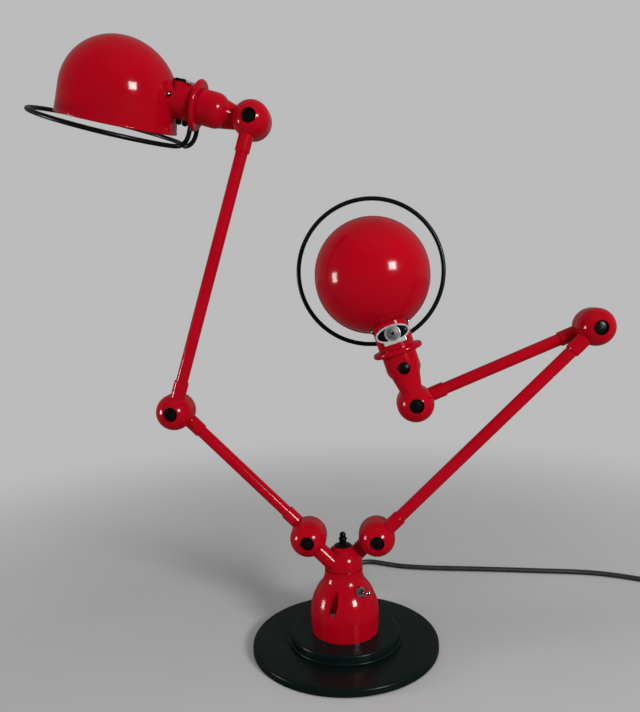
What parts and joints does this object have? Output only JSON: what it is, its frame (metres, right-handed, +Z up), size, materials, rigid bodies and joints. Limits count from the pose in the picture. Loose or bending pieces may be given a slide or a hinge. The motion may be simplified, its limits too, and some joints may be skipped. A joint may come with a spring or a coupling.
{
  "type": "two-headed articulated desk lamp",
  "caption": "Desk lamp with round weighted base, swivelling turret and jointed tubular arms that end in turning dome shades with wire guards, push buttons and a toggle switch.",
  "frame": {"origin": "middle of the resting face, on the turret's axis", "axes": "+Z up along the turret axis, -Y toward the viewer, +X to the right in the picture"},
  "size_m": [0.8208, 0.3064, 0.6226],
  "materials": {
    "base_iron": "dark green semi-gloss paint",
    "base_pad": "felt",
    "red_pedestal": "gloss red enamel on a casting",
    "red_casting": "gloss red enamel on castings and spun sheet",
    "red_tube": "gloss red enamel on steel tube",
    "black_wire": "satin black on steel wire",
    "black_plastic": "semi-gloss black",
    "cord_sheath": "matt black sheath",
    "contact_fibre": "matt brown",
    "plated_steel": "bright plated",
    "bright_chrome": "polished",
    "badge_plate": "polished rim, black field",
    "lampholder": "cream moulded",
    "opal_bulb": "opal"
  },
  "bodies": {
    "base": {"base_plate": "base_iron", "base_pad": "base_pad", "foot_disc": "base_iron", "pedestal": "red_pedestal", "pedestal_screws": "plated_steel", "swivel_spindle": "plated_steel", "finial": "black_plastic", "toggle_body": "bright_chrome", "toggle_nut": "bright_chrome", "cord_gland": "cord_sheath", "mains_cord": "cord_sheath", "cord_coil": "cord_sheath", "mains_plug": "cord_sheath"},
    "toggle": {"toggle_lever": "bright_chrome"},
    "turret": {"turret_cap": "red_casting", "left_stem": "red_casting", "right_stem": "red_casting", "turret_caps": "black_plastic", "turret_pivots": "plated_steel", "turret_contacts": "contact_fibre"},
    "left_lower_arm": {"left_lower_tube": "red_tube", "left_base_knuckle": "red_casting", "left_lower_elbow": "red_casting", "left_lower_caps": "black_plastic"},
    "left_upper_arm": {"left_upper_tube": "red_tube", "left_upper_elbow": "red_casting", "left_head_knuckle": "red_casting", "left_upper_caps": "black_plastic", "left_pivots": "plated_steel", "left_contacts": "contact_fibre"},
    "left_neck_link": {"left_neck": "red_casting", "left_neck_cap": "black_plastic"},
    "left_push": {"left_button": "black_plastic"},
    "left_head": {"left_collar": "red_casting", "left_housing": "red_casting", "left_shade": "red_casting", "left_guard": "black_wire", "left_plate": "badge_plate", "left_socket": "lampholder", "left_bulb": "opal_bulb"},
    "right_lower_arm": {"right_lower_tube": "red_tube", "right_base_knuckle": "red_casting", "right_lower_elbow": "red_casting", "right_lower_caps": "black_plastic"},
    "right_upper_arm": {"right_upper_tube": "red_tube", "right_upper_elbow": "red_casting", "right_head_knuckle": "red_casting", "right_upper_caps": "black_plastic", "right_pivots": "plated_steel", "right_contacts": "contact_fibre"},
    "right_neck_link": {"right_neck": "red_casting", "right_neck_cap": "black_plastic"},
    "right_push": {"right_button": "black_plastic"},
    "right_head": {"right_collar": "red_casting", "right_housing": "red_casting", "right_shade": "red_casting", "right_guard": "black_wire", "right_plate": "badge_plate", "right_socket": "lampholder", "right_bulb": "opal_bulb"}
  },
  "joints": [
    {"name": "turret_turn", "type": "hinge", "parent": "base", "child": "turret", "pos_m": [0, 0, 0.095], "axis": [0, 0, 1], "range_deg": [-170, 170]},
    {"name": "left_base", "type": "hinge", "parent": "turret", "child": "left_lower_arm", "pos_m": [-0.035, 0, 0.116], "axis": [0, -1, 0], "range_deg": [-12, 60]},
    {"name": "left_elbow", "type": "hinge", "parent": "left_lower_arm", "child": "left_upper_arm", "pos_m": [-0.16747, 0, 0.2494], "axis": [0, 1, 0], "range_deg": [-100, 15]},
    {"name": "left_nod", "type": "hinge", "parent": "left_upper_arm", "child": "left_neck_link", "pos_m": [-0.07676, 0, 0.53536], "axis": [0, -1, 0], "range_deg": [-110, 33]},
    {"name": "left_head_turn", "type": "hinge", "parent": "left_neck_link", "child": "left_head", "pos_m": [-0.07676, 0, 0.53536], "axis": [-0.9521, 0, 0.3057], "range_deg": [-170, 170]},
    {"name": "right_base", "type": "hinge", "parent": "turret", "child": "right_lower_arm", "pos_m": [0.035, 0, 0.116], "axis": [0, 1, 0], "range_deg": [-15, 50]},
    {"name": "right_elbow", "type": "hinge", "parent": "right_lower_arm", "child": "right_upper_arm", "pos_m": [0.25044, 0, 0.32477], "axis": [0, -1, 0], "range_deg": [-120, 8]},
    {"name": "right_nod", "type": "hinge", "parent": "right_upper_arm", "child": "right_neck_link", "pos_m": [0.07662, 0, 0.25313], "axis": [0, 1, 0], "range_deg": [-70, 28]},
    {"name": "right_head_turn", "type": "hinge", "parent": "right_neck_link", "child": "right_head", "pos_m": [0.07662, 0, 0.25313], "axis": [-0.294, 0, 0.9558], "range_deg": [-170, 170]},
    {"name": "toggle_flip", "type": "hinge", "parent": "base", "child": "toggle", "pos_m": [0.01682, -0.02005, 0.0648], "axis": [-0.766, -0.6428, 0], "range_deg": [0, 24]},
    {"name": "left_press", "type": "slide", "parent": "left_neck_link", "child": "left_push", "axis": [0, -1, 0], "range_m": [0, 0.0025], "stiffness_N_per_m": 400},
    {"name": "right_press", "type": "slide", "parent": "right_neck_link", "child": "right_push", "axis": [0, 1, 0], "range_m": [0, 0.0025], "stiffness_N_per_m": 400}
  ]
}
